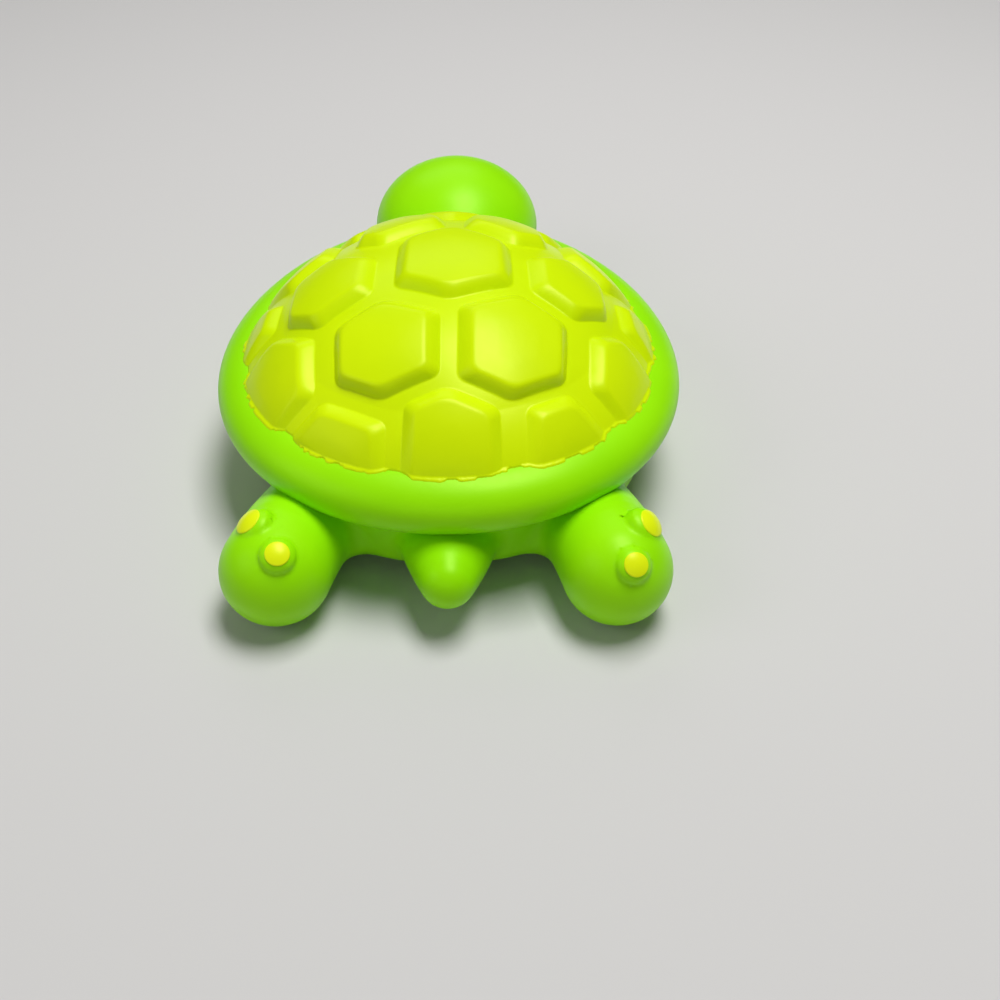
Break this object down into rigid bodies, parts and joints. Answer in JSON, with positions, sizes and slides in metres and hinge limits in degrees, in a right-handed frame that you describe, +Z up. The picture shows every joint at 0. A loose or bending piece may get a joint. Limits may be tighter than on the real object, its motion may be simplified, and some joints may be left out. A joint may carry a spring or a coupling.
{
  "type": "squeaky bath toy",
  "caption": "Hollow soft vinyl turtle that squeaks when its shell is pressed, with a raised hexagon shell skin and a reed squeaker in its belly.",
  "frame": {"origin": "on the ground under the middle of the toy's overall box", "axes": "+Z up, -Y towards the head, +X to the toy's left side"},
  "size_m": [0.08, 0.1237, 0.0397],
  "materials": {
    "green_vinyl": "satin",
    "yellow_vinyl": "satin",
    "white_vinyl": "satin",
    "black_vinyl": "gloss",
    "squeaker_plastic": "gloss",
    "reed_brass": "satin"
  },
  "bodies": {
    "root": {"body_casting": "green_vinyl", "hind_spot_left_outer": "yellow_vinyl", "hind_spot_left_inner": "yellow_vinyl", "hind_spot_right_outer": "yellow_vinyl", "hind_spot_right_inner": "yellow_vinyl", "front_spot_left_outer": "yellow_vinyl", "front_spot_left_inner": "yellow_vinyl", "front_spot_right_outer": "yellow_vinyl", "front_spot_right_inner": "yellow_vinyl", "eye_white_left": "white_vinyl", "eye_white_right": "white_vinyl", "pupil_left": "black_vinyl", "pupil_right": "black_vinyl", "squeaker_housing": "squeaker_plastic", "squeaker_cap": "squeaker_plastic", "reed_block": "squeaker_plastic", "reed_clamp": "squeaker_plastic"},
    "shell": {"shell_skin": "yellow_vinyl"},
    "reed": {"reed": "reed_brass"}
  },
  "joints": [
    {"name": "shell_press", "type": "slide", "parent": "root", "child": "shell", "axis": [0, 0, -1], "range_m": [0, 0.006], "stiffness_N_per_m": 1500, "deforming": ["body_casting"]},
    {"name": "reed_flutter", "type": "hinge", "parent": "root", "child": "reed", "pos_m": [0, 0.00743, 0.01315], "axis": [1, 0, 0], "range_deg": [-3.5, 2], "stiffness_Nm_per_rad": 0.0003}
  ]
}
